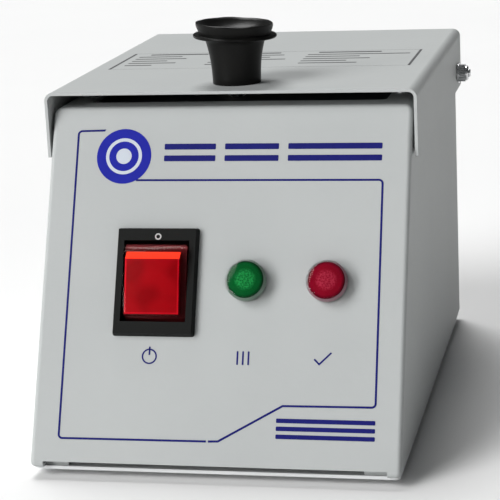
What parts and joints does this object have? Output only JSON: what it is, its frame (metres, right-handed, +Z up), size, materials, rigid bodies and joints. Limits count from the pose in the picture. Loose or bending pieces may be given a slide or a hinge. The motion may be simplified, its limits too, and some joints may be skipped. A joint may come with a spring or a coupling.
{
  "type": "glass bead sterilizer",
  "caption": "Bench glass bead sterilizer with a sloping front panel, rocker switch, two lamps, hinged folded lid with a knob and a heated well of glass beads.",
  "frame": {"origin": "on the bench surface, under the middle of the whole object", "axes": "+X to the right seen from the front, +Y to the back, +Z up"},
  "size_m": [0.1228, 0.1804, 0.1266],
  "materials": {
    "base_paint": "grey powder coat",
    "black_nylon": "black nylon",
    "brass_blades": "tinned brass",
    "can_steel": "galvanised sheet",
    "case_paint": "light grey powder coat, fine texture",
    "ceramic_block": "glazed ceramic",
    "ceramic_fibre": "white ceramic fibre",
    "deck_paint": "dark heat-proof paint, satin",
    "glass_beads": "clear glass beads, packed",
    "green_lens": "translucent green acrylic",
    "heater_steel": "heat-tinted steel over mica",
    "knob_plastic": "black moulded plastic, satin",
    "lamp_plastic": "natural nylon",
    "lid_paint": "light grey powder coat, fine texture",
    "red_lens": "translucent red acrylic",
    "red_rocker": "translucent red plastic",
    "rubber": "matt black rubber",
    "switch_ceramic": "brown ceramic",
    "switch_plastic": "black nylon, satin",
    "well_steel": "drawn stainless steel",
    "zinc_hardware": "bright zinc plate"
  },
  "bodies": {
    "case": {"base_plate": "base_paint", "base_screws": "zinc_hardware", "case_shell": "case_paint", "cord_gland": "black_nylon", "deck_plate": "deck_paint", "deck_screws": "zinc_hardware", "foot_front_left": "rubber", "foot_front_right": "rubber", "foot_rear_left": "rubber", "foot_rear_right": "rubber", "fuse_holder": "black_nylon", "fuse_nut": "black_nylon", "gland_locknut": "black_nylon", "glass_beads": "glass_beads", "green_lamp_body": "lamp_plastic", "green_lamp_nut": "zinc_hardware", "green_lens": "green_lens", "heat_switch": "switch_ceramic", "heat_switch_nut": "zinc_hardware", "heater_band": "heater_steel", "heater_can": "can_steel", "heater_clamp_nut": "zinc_hardware", "heater_clamp_screw": "zinc_hardware", "insulation_jacket": "ceramic_fibre", "pivot_nut_left": "zinc_hardware", "pivot_nut_right": "zinc_hardware", "pivot_screw_left": "zinc_hardware", "pivot_screw_right": "zinc_hardware", "pivot_spacer_left": "zinc_hardware", "pivot_spacer_right": "zinc_hardware", "pivot_washer_left": "zinc_hardware", "pivot_washer_right": "zinc_hardware", "rear_panel": "case_paint", "rear_screws": "zinc_hardware", "red_lamp_body": "lamp_plastic", "red_lamp_nut": "zinc_hardware", "red_lens": "red_lens", "switch_frame": "switch_plastic", "switch_terminals": "brass_blades", "terminal_block": "ceramic_block", "well_cup": "well_steel", "well_screws": "zinc_hardware"},
    "lid": {"lid": "lid_paint", "lid_knob": "knob_plastic", "knob_screw": "zinc_hardware", "knob_washer": "zinc_hardware", "lid_bumper_left": "rubber", "lid_bumper_right": "rubber"},
    "rocker": {"switch_rocker": "red_rocker"},
    "fuse_cap": {"fuse_cap": "black_nylon"}
  },
  "joints": [
    {"name": "lid_hinge", "type": "hinge", "parent": "case", "child": "lid", "pos_m": [0, 0.06944, 0.0933], "axis": [-1, 0, 0], "range_deg": [0, 94]},
    {"name": "rocker_tilt", "type": "hinge", "parent": "case", "child": "rocker", "pos_m": [-0.0196, -0.06442, 0.05254], "axis": [1, 0, 0], "range_deg": [-16, 0]},
    {"name": "fuse_cap_turn", "type": "hinge", "parent": "case", "child": "fuse_cap", "pos_m": [0.032, 0.08324, 0.026], "axis": [0, 1, 0], "range_deg": [0, 90]}
  ]
}
